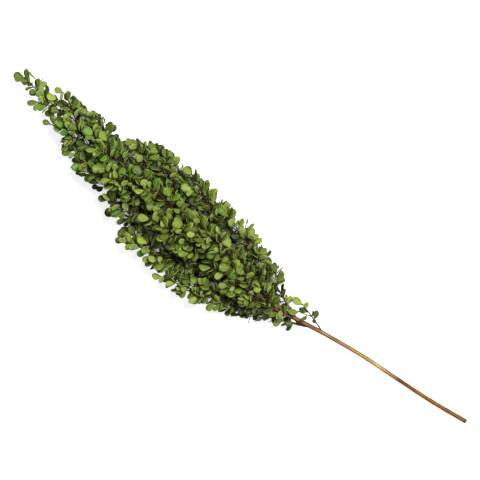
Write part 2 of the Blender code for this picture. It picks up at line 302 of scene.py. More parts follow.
# The space that a leaf keeps for itself from a share of its length on
def guardTree(length, width, pose, start, room):
    guard = bmesh.new()
    bmesh.ops.create_cube(guard, size=1)
    foot = start * length
    reach = length + room - foot
    middle = Matrix.Translation((foot + reach / 2, 0, 0))
    depth = leafPlan["thickness"] + 2 * room
    sides = (reach, width * clearPlan["guardWidth"] + 2 * room, depth, 1)
    bmesh.ops.transform(guard, matrix=pose @ middle @ Matrix.Diagonal(sides), verts=guard.verts[:])
    tree = BVHTree.FromBMesh(guard)
    guard.free()
    return tree


# Two directions square to a twig: level to its left, and as near upright as can be
def axisFrame(along):
    level = up.cross(along).normalized()
    return level, along.cross(level).normalized()


def makeAxis(name, node, points, radii, firstSide=1):
    reach = [0.0]
    for a, b in zip(points, points[1:]):
        reach.append(reach[-1] + (b - a).length)
    return {
        "name": name,
        "node": node,
        "points": points,
        "radii": radii,
        "firstSide": firstSide,
        "reach": reach,
        "length": reach[-1],
    }


# The centre, direction and radius at a distance along an axis
def axisAt(axis, distance):
    points, reach = axis["points"], axis["reach"]
    last = len(points) - 2
    i = next((n for n in range(last) if distance < reach[n + 1]), last)
    a, b = points[i], points[i + 1]
    share = (distance - reach[i]) / (reach[i + 1] - reach[i])
    return a.lerp(b, share), (b - a).normalized(), between(axis["radii"][i : i + 2], share)


def liesLow(axis):
    return axis["points"][-1].z < low + stemPlan["seatGap"]


# A spray's twig leaves the stem at an angle, then bends to run along the branch
def sprayAxis(name, foot, run, sideways, height):
    centre, girth = stemAt(foot)
    along = (stemAt(foot + stemPlan["lookAhead"])[0] - centre).normalized()
    forward = foot + run
    tipSide = stemAt(min(forward, stemPlan["leaderTip"]))[0].y + sideways
    tip = Vector((forward, tipSide, height))
    span = (tip - centre).length
    radius = sprayPlan["tipRadius"] + sprayPlan["girth"] * span
    out = tip - centre
    out = (out - out.project(along)).normalized()
    angle = sprayPlan["leavingAngle"]
    startWay = along * math.cos(angle) + out * math.sin(angle)
    base = centre + out * (girth + stemPlan["seatGap"] + radius * math.cos(angle))
    endWay = Vector((1, math.copysign(sprayPlan["endSplay"], sideways), 0)).normalized()
    bend = base + startWay * span * sprayPlan["leavingShare"]
    lead = tip - endWay * span * sprayPlan["arrivingShare"]
    lead.z += (centre.z - tip.z) * sprayPlan["endDrop"]
    count = 3 + round(span / sprayPlan["stretch"])
    points = interpolate_bezier(base, bend, lead, tip, count)
    radii = [between((radius, sprayPlan["tipRadius"]), i / (count - 1)) for i in range(count)]
    axis = makeAxis(name, name, points, radii, -math.copysign(1, sideways))
    axis["handles"] = (base, bend, lead, tip)
    axis["foot"] = foot
    return axis


def stretchOfStem(name, start, end, steps):
    line = [stemAt(between((start, end), i / steps)) for i in range(steps + 1)]
    return makeAxis(name, name, [point for point, _ in line], [radius for _, radius in line])


# Wood as spots along its axes, and leaves as search trees, both kept by the cells of a coarse grid
grown = {"spots": {}, "leaves": {}, "order": [], "taken": set()}


def cellOf(point):
    return tuple(math.floor(c / clearPlan["cell"]) for c in point)


def nearby(kind, point):
    x, y, z = cellOf(point)
    around = (-1, 0, 1)
    for cell in ((x + i, y + j, z + k) for i in around for j in around for k in around):
        yield from grown[kind].get(cell, ())


def addWood(axis):
    distance = 0.0
    while distance <= axis["length"]:
        centre, _, radius = axisAt(axis, distance)
        grown["spots"].setdefault(cellOf(centre), []).append((centre, radius, axis["node"]))
        distance += clearPlan["woodStep"]


def woodIsClear(axis, amongLeaves=False):
    if edgeRoom(axis["points"][-1]) < shootPlan["edgeRoom"]:
        return False
    distance = clearPlan["shootNeck"]
    while distance < axis["length"]:
        point, _, radius = axisAt(axis, distance)
        if point.z < radius + clearPlan["room"]:
            return False
        for centre, other, node in nearby("spots", point):
            room = clearPlan["woodRoom"] if node != axis["node"] else 0
            if (point - centre).length < radius + other + room:
                return False
        if amongLeaves:
            for leaf in nearby("leaves", point):
                if leaf["tree"].find_nearest(point, radius + clearPlan["room"])[0]:
                    return False
        distance += clearPlan["woodStep"]
    return True


def insideBox(solid):
    for corner in solid.verts:
        place = corner.co - branchMiddle
        if any(place[i] < cadBox[0][i] or place[i] > cadBox[1][i] for i in range(3)):
            return False
    return True


def leafIsClear(node, pose, length, width, solid, room):
    if min(corner.co.z for corner in solid.verts) < room:
        return False
    if min(edgeRoom(corner.co) for corner in solid.verts) < 0:
        return False
    middle = pose @ Vector((length / 2, 0, 0))
    toLeaf = pose.inverted()
    neck = clearPlan["leafNeck"]
    for centre, radius, owner in nearby("spots", middle):
        if (centre - middle).length > length:
            continue
        spot = toLeaf @ centre
        space = radius + room
        start = neck * length if owner == node else -space
        if start < spot.x < length + space and abs(spot.y) < width / 2 + space:
            if abs(spot.z) < leafPlan["thickness"] + space:
                return False
    nearGuard = guardTree(length, width, pose, neck, room)
    farGuard = guardTree(length, width, pose, 0, room)
    for leaf in nearby("leaves", middle):
        if (leaf["middle"] - middle).length < clearPlan["neighbour"]:
            if (nearGuard if leaf["node"] == node else farGuard).overlap(leaf["tree"]):
                return False
    return True


def keepLeaf(axis, slot, pose, length, width, solid):
    leaf = {
        "node": axis["node"],
        "axis": axis["name"],
        "slot": slot,
        "pose": pose,
        "length": length,
        "width": width,
        "middle": pose @ Vector((length / 2, 0, 0)),
        "tree": BVHTree.FromBMesh(solid),
    }
    solid.free()
    grown["order"].append(leaf)
    grown["taken"].add((axis["name"], slot))
    grown["leaves"].setdefault(cellOf(leaf["middle"]), []).append(leaf)


# Short shoots leave a twig forwards by turns. With a shift they stand between the first ones
def sideShoots(axis, kind="shoot", shift=0.5, more=0, lifts=shootPlan["lift"], amongLeaves=False):
    shoots = []
    count = round(axis["length"] / shootPlan["every"]) + more
    for k in range(count):
        name = f"{axis['name']} {kind} {k}"
        rule = random.Random(f"{seed} {name}")
        distance = axis["length"] * between(shootPlan["stretch"], (k + shift) / count)
        start, along, _ = axisAt(axis, distance)
        level, upright = axisFrame(along)
        shrink = between(shootPlan["shrink"], distance / axis["length"])
        length = rule.uniform(*shootPlan["length"]) * shrink
        length *= shootPlan["outerShare"] if k % 2 else 1
        side = axis["firstSide"] * (-1) ** k
        for _ in range(shootPlan["tries"]):
            length *= leafPlan["tryShrink"]
            lift = rule.uniform(*lifts)
            out = level * side * math.cos(lift) + upright * math.sin(lift)
            way = along * math.cos(shootPlan["angle"]) + out * math.sin(shootPlan["angle"])
            bend = (way + along * shootPlan["bend"]).normalized()
            middle = start + way * length / 2
            points = [start, middle, middle + bend * length / 2]
            radii = [between(shootPlan["radius"], share) for share in (0, 0.5, 1)]
            shoot = makeAxis(name, axis["node"], points, radii)
            if woodIsClear(shoot, amongLeaves):
                addWood(shoot)
                shoots.append(shoot)
                break
    return shoots


def leafPose(foot, way, face):
    along = way.normalized()
    across = face.cross(along).normalized()
    turn = Matrix((along, across, along.cross(across))).transposed().to_4x4()
    return Matrix.Translation(foot) @ turn


# One leaf at its slot, turned until it is clear of its neighbours
def growLeaf(axis, slot, kind):
    rule = random.Random(f"{seed} {axis['name']} leaf {slot}")
    distance = axis["length"] - leafPlan["tipSink"] - slot * leafPlan["step"]
    foot, along, _ = axisAt(axis, distance)
    level, upright = axisFrame(along)
    size = between(kind["sizes"], shareOf(foot.x, foliageRise))
    for attempt in range(leafPlan["tries"]):
        length = rule.uniform(*leafPlan["length"]) * size * leafPlan["tryShrink"] ** attempt
        width = length * rule.uniform(*leafPlan["widthShare"]) * kind["broad"]
        loose = leafPlan["turnLoose"] + leafPlan["turnLooser"] * attempt
        turn = slot * leafPlan["goldenAngle"] + rule.uniform(-loose, loose)
        angle = math.radians(rule.uniform(*leafPlan["angle" if slot else "tipAngle"]))
        out = level * math.cos(turn) + upright * math.sin(turn)
        way = along * math.cos(angle) + out * math.sin(angle)
        way.z = way.z * leafPlan["flatten"] + rule.uniform(*leafPlan["lift"])
        face = along * math.sin(angle) - out * math.cos(angle)
        jitter = Vector([rule.gauss(0, kind["faceJitter"]) for _ in range(3)])
        face = face * leafPlan["faceToTip"] + up * kind["faceUp"] + jitter
        pose = leafPose(foot, way, face)
        solid = leafSolid(length, width, pose, kind["thickness"])
        if leafIsClear(axis["node"], pose, length, width, solid, kind["room"]):
            if not kind["keepInBox"] or insideBox(solid):
                keepLeaf(axis, slot, pose, length, width, solid)
                return
        solid.free()


# The end leaf of a low spray is level, with its underside on the surface
def floorLeaf(axis):
    tip, along, _ = axisAt(axis, axis["length"])
    way = Vector((along.x, along.y, 0)).normalized()
    length = sum(leafPlan["length"]) / 2
    width = length * sum(leafPlan["widthShare"]) / 2
    foot = Vector((tip.x, tip.y, leafPlan["thickness"] / 2)) - way * leafPlan["floorSink"]
    pose = leafPose(foot, way, up)
    keepLeaf(axis, 0, pose, length, width, leafSolid(length, width, pose))


# Every second slot is a solid's leaf
def solidSlots(axis, bare):
    last = int((axis["length"] - bare) / leafPlan["step"])
    return [slot for slot in range(0, last + 1, 2) if slot or not liesLow(axis)]


# First what the solids hold, in their order, so that each leaf lies where its solid does
stem = stretchOfStem("main_stem", 0, stemPlan["leaderFoot"], stemPlan["stretches"])
leader = stretchOfStem(
    "leader",
    stemPlan["leaderFoot"] + stemPlan["seatGap"],
    stemPlan["leaderTip"],
    stemPlan["leaderStretches"],
)
sprays = [
    sprayAxis(f"{side}_spray_{k:02d}", *values)
    for side, rows in sprayPlan["rows"].items()
    for k, values in enumerate(rows, 1)
]
twigs = [leader, *sprays]
for axis in (stem, *twigs):
    addWood(axis)
shoots = {axis["name"]: sideShoots(axis) for axis in twigs}
for axis in twigs:
    if liesLow(axis):
        floorLeaf(axis)
for axis in twigs:
    for slot in solidSlots(axis, sprayPlan["bareFoot"]):
        growLeaf(axis, slot, leafKinds["solid"])
    for shoot in shoots[axis["name"]]:
        for slot in solidSlots(shoot, shootPlan["bareFoot"]):
            growLeaf(shoot, slot, leafKinds["solid"])
print("leaves that the solids hold:", len(grown["order"]))

# Then the finer growth between them: late shoots, and leaves at every half slot that is still free
extraPlan = {
    "series": [  # kind, place between the first ones, how many more, and how far they lift
        ("late shoot", 0.05, 1, (-0.35, 0.75)),
        ("low shoot", 0.30, 2, (-1.2, -0.2)),
        ("small shoot", 0.75, 2, (-0.6, 0.9)),
        ("last shoot", 0.15, 2, (-1.4, 0.2)),
    ],
    "bareFoot": 0.004,
    "slotStep": 0.5,
    "crown": (0.2, 0.35, 0.7, 0.85, 1.25, 1.75),  # more leaves at the branch's tip
    "fewest": 2,  # an added shoot with fewer leaves is left out
    "loose": ("leader", "left_spray_12", "right_spray_01", "right_spray_13"),
}
denseTwigs = [axis for axis in twigs if axis["name"] not in extraPlan["loose"]]
lateShoots = {axis["name"]: [] for axis in twigs}
for series in extraPlan["series"]:
    for axis in denseTwigs:
        lateShoots[axis["name"]] += sideShoots(axis, *series, amongLeaves=True)


def growBetween(where, start):
    for axis in where:
        for stick in (axis, *shoots[axis["name"]], *lateShoots[axis["name"]]):
            slot = start
            while slot * leafPlan["step"] < stick["length"] - extraPlan["bareFoot"]:
                if (stick["name"], slot) not in grown["taken"]:
                    growLeaf(stick, slot, leafKinds["added"])
                slot += 1


growBetween(twigs, 0)
growBetween([leader, *denseTwigs], extraPlan["slotStep"])
for slot in extraPlan["crown"]:
    growLeaf(leader, slot, leafKinds["added"])
held = Counter(leaf["axis"] for leaf in grown["order"])
for name, late in lateShoots.items():
    shoots[name] += [shoot for shoot in late if held[shoot["name"]] >= extraPlan["fewest"]]
kept = {stick["name"] for axis in twigs for stick in (axis, *shoots[axis["name"]])}
grown["order"] = [leaf for leaf in grown["order"] if leaf["axis"] in kept]

# A short dead stick on the first twig of the left side, and nothing grows on it
deadStick = {
    "spray": "left_spray_01",
    "share": 0.50,
    "way": Vector((-0.28, 0.95, 0.02)),
    "bend": Vector((0.0012, 0, 0)),
    "length": 0.013,
    "radii": (0.0006, 0.00055, 0.0004),
}


def makeDeadStick():
    axis = next(axis for axis in sprays if axis["name"] == deadStick["spray"])
    foot = axisAt(axis, axis["length"] * deadStick["share"])[0]
    step = deadStick["way"].normalized() * deadStick["length"] / 2
    points = [foot, foot + step + deadStick["bend"], foot + step * 2]
    return makeAxis("dead stick", axis["name"], points, deadStick["radii"])


shoots[deadStick["spray"]].append(makeDeadStick())
print("leaves in all:", len(grown["order"]), "shoots:", sum(len(s) for s in shoots.values()))


# Node helpers
def newMaterial(name):
    surface = bpy.data.materials.new(name)
    surface.use_nodes = True
    return surface, surface.node_tree, surface.node_tree.nodes["Principled BSDF"]


# Each input takes a link from another node's socket, or a plain value
def feed(tree, node, inputs):
    for key, value in inputs.items():
        if isinstance(value, bpy.types.NodeSocket):
            tree.links.new(value, node.inputs[key])
        else:
            node.inputs[key].default_value = value


def addNode(tree, kind, inputs=None, **settings):
    node = tree.nodes.new(kind)
    for key, value in settings.items():
        setattr(node, key, value)
    feed(tree, node, inputs or {})
    return node


def mathNode(tree, operation, a, b=0.0):
    return addNode(tree, "ShaderNodeMath", {0: a, 1: b}, operation=operation).outputs[0]


def vectorNode(tree, operation, a, b=(0, 0, 0)):
    return addNode(tree, "ShaderNodeVectorMath", {0: a, 1: b}, operation=operation).outputs


def mixColour(tree, factor, a, b, blend="MIX"):
    a, b = ((*colour, 1) if isinstance(colour, tuple) else colour for colour in (a, b))
    inputs = {0: factor, 6: a, 7: b}  # the node's colour sockets
    return addNode(tree, "ShaderNodeMix", inputs, data_type="RGBA", blend_type=blend).outputs[2]


def dimmed(tree, colour, share):
    return mixColour(tree, 1.0, colour, share, "MULTIPLY")


def rangeNode(tree, value, low0, high0, low1=0.0, high1=1.0):
    inputs = {"Value": value, 1: low0, 2: high0, 3: low1, 4: high1}
    return addNode(tree, "ShaderNodeMapRange", inputs).outputs[0]


def noiseNode(tree, place, scale, detail):
    inputs = {"Vector": place, "Scale": scale, "Detail": detail}
    return addNode(tree, "ShaderNodeTexNoise", inputs).outputs[0]


bumpDepth = 0.0003


def bumpNode(tree, height, strength):
    inputs = {"Height": height, "Strength": strength, "Distance": bumpDepth}
    return addNode(tree, "ShaderNodeBump", inputs).outputs[0]


# A shader group with a place and plain numbers going in, and masks coming out
def newGroup(name, numbers, masks):
    group = bpy.data.node_groups.new(name, "ShaderNodeTree")
    group.interface.new_socket("Place", in_out="INPUT", socket_type="NodeSocketVector")
    for way, labels in (("INPUT", numbers), ("OUTPUT", masks)):
        for label in labels:
            group.interface.new_socket(label, in_out=way, socket_type="NodeSocketFloat")
    return group, addNode(group, "NodeGroupInput").outputs, addNode(group, "NodeGroupOutput")


veinPlan = {  # as shares of a leaf's length and width
    "pairs": 6.0,
    "width": 0.16,
    "midrib": (0.02, 0.07),
    "slant": 0.55,
    "sideFade": (0.30, 0.48),
    "sideShare": 0.6,
    "rim": (0.42, 0.5),
}


# The net of veins on a leaf, used on both of its sides
def makeVeinGroup():
    group, into, out = newGroup("leafVeins", ("Pairs", "Width"), ("Veins", "Rim"))
    along, across, _ = addNode(group, "ShaderNodeSeparateXYZ", {0: into["Place"]}).outputs
    aside = mathNode(group, "ABSOLUTE", mathNode(group, "SUBTRACT", across, 0.5))
    midrib = rangeNode(group, aside, *veinPlan["midrib"], 1, 0)
    slant = mathNode(group, "MULTIPLY", aside, veinPlan["slant"])
    count = mathNode(group, "MULTIPLY", mathNode(group, "SUBTRACT", along, slant), into["Pairs"])
    cycle = mathNode(group, "PINGPONG", count, 0.5)
    side = rangeNode(group, cycle, 0, into["Width"], 1, 0)
    side = mathNode(group, "MULTIPLY", side, rangeNode(group, aside, *veinPlan["sideFade"], 1, 0))
    side = mathNode(group, "MULTIPLY", side, veinPlan["sideShare"])
    rim = rangeNode(group, aside, *veinPlan["rim"])
    feed(group, out, {"Veins": mathNode(group, "MAXIMUM", midrib, side), "Rim": rim})
    return group


grainPlan = {
    "fibreScale": 900,
    "fibreLength": (1, 1, 0.07),
    "poreScale": 700,
    "poreLength": (1, 1, 0.45),
    "poreEdge": (0.12, 0.26),
    "patchScale": 60,
}


# Long fibres and small pale pores that follow a stem
def makeBarkGroup():
    numbers, masks = ("Fibre scale", "Pore scale"), ("Fibres", "Pores", "Patches")
    group, into, out = newGroup("barkGrain", numbers, masks)
    place = into["Place"]
    long, short = (
        addNode(group, "ShaderNodeMapping", {"Vector": place, "Scale": grainPlan[key]}).outputs[0]
        for key in ("fibreLength", "poreLength")
    )
    inputs = {"Vector": short, "Scale": into["Pore scale"], "Randomness": 1}
    pores = addNode(group, "ShaderNodeTexVoronoi", inputs).outputs["Distance"]
    results = {
        "Fibres": noiseNode(group, long, into["Fibre scale"], 3),
        "Pores": rangeNode(group, pores, *grainPlan["poreEdge"], 1, 0),
        "Patches": noiseNode(group, place, grainPlan["patchScale"], 2),
    }
    feed(group, out, results)
    return group


veinGroup = makeVeinGroup()
barkGroup = makeBarkGroup()

leafLook = {
    "pale": (0.27, 0.32, 0.085),
    "veinPale": 0.40,
    "veinShare": 0.6,
    "rimShare": 0.7,
    "mottle": (0.72, 0.74, 0.7),
    "mottleScale": 420,
    "mottleEdge": (0.35, 0.65),
    "mottleHeight": 0.5,
    "stalk": (0.10, 0.042, 0.018),
    "stalkEnd": (0.05, 0.16),
    "underPale": (0.22, 0.28, 0.065),
    "underShare": 0.6,
    "roughEdge": (0.3, 0.7),
    "upperRoughness": (0.42, 0.54),
    "underRoughness": (0.62, 0.75),
    "upperVeins": -0.6,  # their height, sunk above and raised below
    "underVeins": 1.0,
    "gloss": 0.17,
    "bump": 0.35,
}


# A leaf's colour is its own attribute, broken up by veins, mottling and a paler rim
def makeLeafMaterial(name, side):
    surface, tree, shader = newMaterial(name)
    tint = addNode(tree, "ShaderNodeAttribute", attribute_name="leafColour").outputs["Color"]
    uv = addNode(tree, "ShaderNodeUVMap", uv_map="leafUV").outputs[0]
    inputs = {"Place": uv, "Pairs": veinPlan["pairs"], "Width": veinPlan["width"]}
    veins = addNode(tree, "ShaderNodeGroup", inputs, node_tree=veinGroup).outputs
    where = addNode(tree, "ShaderNodeTexCoord").outputs["Object"]
    mottle = noiseNode(tree, where, leafLook["mottleScale"], 3)
    dark = dimmed(tree, tint, leafLook["mottle"])
    colour = mixColour(tree, rangeNode(tree, mottle, *leafLook["mottleEdge"]), dark, tint)
    pale = mixColour(tree, leafLook["veinPale"], tint, leafLook["pale"])
    for mask, share in (("Veins", "veinShare"), ("Rim", "rimShare")):
        strength = mathNode(tree, "MULTIPLY", veins[mask], leafLook[share])
        colour = mixColour(tree, strength, colour, pale)
    if side == "under":
        colour = mixColour(tree, leafLook["underShare"], colour, leafLook["underPale"])
    rough = rangeNode(tree, mottle, *leafLook["roughEdge"], *leafLook[f"{side}Roughness"])
    height = mathNode(tree, "MULTIPLY", veins["Veins"], leafLook[f"{side}Veins"])
    spots = mathNode(tree, "MULTIPLY", mottle, leafLook["mottleHeight"])
    bump = bumpNode(tree, mathNode(tree, "ADD", height, spots), leafLook["bump"])
    along = addNode(tree, "ShaderNodeSeparateXYZ", {0: uv}).outputs[0]
    blade = rangeNode(tree, along, *leafLook["stalkEnd"])
    colour = mixColour(tree, blade, leafLook["stalk"], colour)
    feed(tree, shader, {"Base Color": colour, "Roughness": rough, "Normal": bump})
    shader.inputs["Specular IOR Level"].default_value = leafLook["gloss"]
    return surface


barkLook = {  # a dark and a light colour at distances from the foot, with painted shade below and painted shade at the rims
    "paintedLightWay": (-0.99, -0.12, 0),  # the way the painted light comes from, in a level tube's own cross-section
    "below": (-0.5, 0.9),
    "rim": (0.04, 0.42),
    "streakEdge": (0.32, 0.68),
    "patchEdge": (0.40, 0.62),
    "patchDim": (0.74, 0.70, 0.66),
    "pore": (0.38, 0.25, 0.11),
    "porePale": 0.35,
    "poreShare": 0.3,
    "poreHeight": 0.4,
    "roughSpread": 0.15,
    "bump": 0.5,
    "stem": {
        "stops": [
            (0.00, (0.150, 0.055, 0.003), (0.255, 0.100, 0.006)),
            (0.062, (0.145, 0.052, 0.003), (0.245, 0.094, 0.005)),
            (0.086, (0.090, 0.030, 0.002), (0.165, 0.059, 0.004)),
            # From 0.102 to 0.131 the bark's own yellow, brightened further by a painted highlight
            (0.102, (0.240, 0.115, 0.025), (0.400, 0.215, 0.055)),
            (0.117, (0.420, 0.260, 0.065), (0.600, 0.385, 0.110)),
            (0.131, (0.270, 0.140, 0.028), (0.440, 0.240, 0.052)),
            (0.155, (0.190, 0.095, 0.024), (0.360, 0.190, 0.056)),
            (0.185, (0.165, 0.080, 0.030), (0.330, 0.168, 0.068)),
            (0.215, (0.095, 0.042, 0.016), (0.230, 0.108, 0.045)),
            (0.300, (0.045, 0.019, 0.010), (0.120, 0.052, 0.028)),
        ],
        "paintedShadeBelow": (0.60, 0.55, 0.57),
        "paintedRimShade": (0.10, 0.085, 0.10),
        "roughness": 0.42,
        "gloss": 0.07,
    },
    "twig": {
        "stops": [
            (0.006, (0.115, 0.052, 0.024), (0.260, 0.128, 0.060)),
            (0.028, (0.055, 0.024, 0.011), (0.135, 0.060, 0.028)),
            (0.055, (0.020, 0.0085, 0.005), (0.064, 0.026, 0.014)),
        ],
        "paintedShadeBelow": (0.62, 0.57, 0.57),
        "paintedRimShade": (0.45, 0.40, 0.42),
        "roughness": 0.55,
        "gloss": 0.12,
    },
}


def makeBarkMaterial(name, look):
    surface, tree, shader = newMaterial(name)
    grain = addNode(tree, "ShaderNodeAttribute", attribute_name="grain").outputs["Vector"]
    inputs = {
        "Place": grain,
        "Fibre scale": grainPlan["fibreScale"],
        "Pore scale": grainPlan["poreScale"],
    }
    bark = addNode(tree, "ShaderNodeGroup", inputs, node_tree=barkGroup).outputs
    streak = rangeNode(tree, bark["Fibres"], *barkLook["streakEdge"])
    fromFoot = addNode(tree, "ShaderNodeSeparateXYZ", {0: grain}).outputs[2]
    start, *tones = look["stops"][0]
    colour = mixColour(tree, streak, *tones)
    for end, *tones in look["stops"][1:]:
        change = rangeNode(tree, fromFoot, start, end)
        colour = mixColour(tree, change, colour, mixColour(tree, streak, *tones))
        start = end
    patch = rangeNode(tree, bark["Patches"], *barkLook["patchEdge"])
    colour = mixColour(tree, patch, dimmed(tree, colour, barkLook["patchDim"]), colour)
    pale = mixColour(tree, barkLook["porePale"], colour, barkLook["pore"])
    pores = mathNode(tree, "MULTIPLY", bark["Pores"], barkLook["poreShare"])
    colour = mixColour(tree, pores, colour, pale)
    # Painted shade: the bark is darker on its underside, away from the light
    around = vectorNode(tree, "NORMALIZE", vectorNode(tree, "MULTIPLY", grain, (1, 1, 0))[0])[0]
    paintedLightWay = vectorNode(tree, "DOT_PRODUCT", around, barkLook["paintedLightWay"])[1]
    above = rangeNode(tree, paintedLightWay, *barkLook["below"])
    colour = mixColour(tree, above, dimmed(tree, colour, look["paintedShadeBelow"]), colour)
    # Painted shade: the bark is darker at its rims, where it is seen edge-on
    facing = addNode(tree, "ShaderNodeLayerWeight", {"Blend": 0.5}).outputs["Facing"]
    rim = rangeNode(tree, facing, *barkLook["rim"])
    colour = mixColour(tree, rim, colour, dimmed(tree, colour, look["paintedRimShade"]))
    roughest = look["roughness"] + barkLook["roughSpread"]
    rough = rangeNode(tree, streak, 0, 1, roughest, look["roughness"])
    height = mathNode(tree, "MULTIPLY", bark["Pores"], barkLook["poreHeight"])
    bump = bumpNode(tree, mathNode(tree, "ADD", bark["Fibres"], height), barkLook["bump"])
    feed(tree, shader, {"Base Color": colour, "Roughness": rough, "Normal": bump})
    shader.inputs["Specular IOR Level"].default_value = look["gloss"]
    return surface


cutLook = {
    "rings": 420,
    "distortion": 1.5,
    "dark": (0.42, 0.24, 0.10),
    "light": (0.60, 0.42, 0.22),
    "roughness": 0.75,
}


def makeCutMaterial(name):
    surface, tree, shader = newMaterial(name)
    grain = addNode(tree, "ShaderNodeAttribute", attribute_name="grain").outputs["Vector"]
    inputs = {"Vector": grain, "Scale": cutLook["rings"], "Distortion": cutLook["distortion"]}
    shape = {"wave_type": "RINGS", "rings_direction": "Z"}
    rings = addNode(tree, "ShaderNodeTexWave", {**inputs, "Detail": 2}, **shape).outputs[0]
    colour = mixColour(tree, rings, cutLook["dark"], cutLook["light"])
    feed(tree, shader, {"Base Color": colour, "Roughness": cutLook["roughness"]})
    return surface


leafUpper = makeLeafMaterial("leafUpper", "upper")
leafUnder = makeLeafMaterial("leafUnder", "under")
stemBark = makeBarkMaterial("stemBark", barkLook["stem"])
twigBark = makeBarkMaterial("twigBark", barkLook["twig"])
cutWood = makeCutMaterial("cutWood")
print("materials made")

bladePlan = {
    "rows": (0.0, 0.10, 0.28, 0.52, 0.78, 1.0),  # shares of the length, the first is the stalk's
    "across": 4,
    "stalkWidth": 0.075,
    "wedge": (0.06, 0.31),
    "crease": 0.02,
    "thickness": 0.026,
    "shapes": [  # droop, arch across and twist as shares of the length, then width and blunt tip
        {"droop": 0.05, "arch": 0.09, "twist": 0.0, "broad": 0.98, "blunt": 0.09},
        {"droop": 0.10, "arch": 0.12, "twist": 0.12, "broad": 0.92, "blunt": 0.06},
        {"droop": 0.00, "arch": 0.16, "twist": -0.14, "broad": 0.86, "blunt": 0.04},
        {"droop": 0.14, "arch": 0.06, "twist": 0.05, "broad": 0.96, "blunt": 0.11},
        {"droop": -0.05, "arch": 0.06, "twist": 0.0, "broad": 0.96, "blunt": 0.09},
        {"droop": -0.03, "arch": -0.09, "twist": -0.10, "broad": 0.88, "blunt": 0.06},
    ],
    "flatShape": 4,
    "upperFrom": 0.3,  # how far up a face has to look to be on the leaf's upper side
}


# A blade of length and width 1: a short stalk, then a wedge that opens to a round tip
def makeBlade(shape):
    blade = bmesh.new()
    rows = bladePlan["rows"]
    steps = len(rows) - 1
    bmesh.ops.create_grid(blade, x_segments=steps, y_segments=bladePlan["across"], size=1)
    share, side = (blade.verts.layers.float.new(name) for name in ("share", "side"))
    for corner in blade.verts:
        s, t = rows[round((corner.co.x + 1) / 2 * steps)], corner.co.y
        corner[share], corner[side] = s, (t + 1) / 2
        rounding = shape["blunt"] * s**3
        opening = shareOf(s, bladePlan["wedge"])
        half = halfWidth(s - rounding) * opening * shape["broad"]
        across = t * max(bladePlan["stalkWidth"] / 2, half)
        drop = shape["droop"] * s * s + shape["arch"] * 4 * across * across
        crease = bladePlan["crease"] * (1 - abs(t)) * opening
        height = shape["twist"] * across * s - drop - crease
        corner.co = (s - rounding * t * t, across, height)
    bmesh.ops.recalc_face_normals(blade, faces=blade.faces[:])
    if sum(face.normal.z for face in blade.faces) < 0:
        bmesh.ops.reverse_faces(blade, faces=blade.faces[:])
    bmesh.ops.solidify(blade, geom=blade.faces[:], thickness=bladePlan["thickness"])
    bmesh.ops.recalc_face_normals(blade, faces=blade.faces[:])
    uv = blade.loops.layers.uv.new("leafUV")
    for face in blade.faces:
        face.smooth = True
        face.material_index = 0 if face.normal.z > bladePlan["upperFrom"] else 1
        for loop in face.loops:
            loop[uv].uv = (loop.vert[share], loop.vert[side])
    for layer in ("share", "side"):
        blade.verts.layers.float.remove(blade.verts.layers.float[layer])
    blade.verts.layers.float_color.new("leafColour")
    return meshFrom(blade, "blade")


tintPlan = {
    "deep": Vector((0.020, 0.038, 0.004)),
    "middle": Vector((0.078, 0.118, 0.011)),
    "bright": Vector((0.185, 0.250, 0.030)),
    "fresh": Vector((0.050, 0.150, 0.010)),
    "freshShare": (0.10, 0.42),  # at the foot of the foliage and at its tip
    "freshFrom": (0.42, 0.60),
    "freshBright": 0.5,
    "age": (0.56, 0.16),  # on top of the foliage, and well below: partly older leaves within, partly painted shade
    "tipAge": (0.70, 0.36),
    "tipSlots": 2,
    "ageSpread": 0.20,
    # painted shade: deeper leaves darkened, from the top of the foliage to well below
    "paintedShade": (1.0, 0.42),
    "spread": (0.88, 1.12),
    "around": 0.013,
    "depth": (0.004, 0.026),
    "tones": (0.82, 1.18),  # from spray to spray
}


# How far each leaf lies below the highest leaf around it, which sets its painted shade
def measureDepths():
    order = grown["order"]
    tree = KDTree(len(order))
    for i, leaf in enumerate(order):
        tree.insert((*leaf["middle"].xy, 0), i)
    tree.balance()
    for leaf in order:
        around = tree.find_range((*leaf["middle"].xy, 0), tintPlan["around"])
        top = max(order[i]["middle"].z for _, i, _ in around)
        leaf["depth"] = shareOf(top - leaf["middle"].z, tintPlan["depth"])


# Leaves are bright on top and deep olive within, partly as older leaves and partly as painted
# shade, and greener towards the branch's tip
def leafTint(rule, leaf):
    forward = shareOf(leaf["middle"].x, tintPlan["freshFrom"])
    if rule.random() < between(tintPlan["freshShare"], forward):
        bright = rule.random() * tintPlan["freshBright"]
        colour = tintPlan["fresh"].lerp(tintPlan["bright"], bright)
    else:
        place = "tipAge" if leaf["slot"] < tintPlan["tipSlots"] else "age"
        usual = between(tintPlan[place], leaf["depth"])
        age = min(max(rule.gauss(usual, tintPlan["ageSpread"]), 0), 1)
        if age < 0.5:
            colour = tintPlan["deep"].lerp(tintPlan["middle"], age * 2)
        else:
            colour = tintPlan["middle"].lerp(tintPlan["bright"], age * 2 - 1)
    tone = random.Random(f"{seed} tone {leaf['node']}").uniform(*tintPlan["tones"])
    # Painted shade by depth, times a random spread
    light = between(tintPlan["paintedShade"], leaf["depth"]) * rule.uniform(*tintPlan["spread"])
    return (*(colour * light * tone), 1)


def meshFrom(shape, name):
    mesh = bpy.data.meshes.new(name)
    shape.to_mesh(mesh)
    shape.free()
    return mesh


def addObject(name, data):
    thing = bpy.data.objects.new(name, data)
    bpy.context.scene.collection.objects.link(thing)
    return thing


def newPiece(name, shape, materials, node):
    mesh = meshFrom(shape, name)
    for surface in materials:
        mesh.materials.append(surface)
    piece = addObject(name, mesh)
    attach(piece, "root")
    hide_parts(node)


blades = [makeBlade(shape) for shape in bladePlan["shapes"]]
toOrigin = Matrix.Translation(-branchMiddle)
boxMargin = 0.00005
footShare = 0.2  # of a blade's length, which is not bent


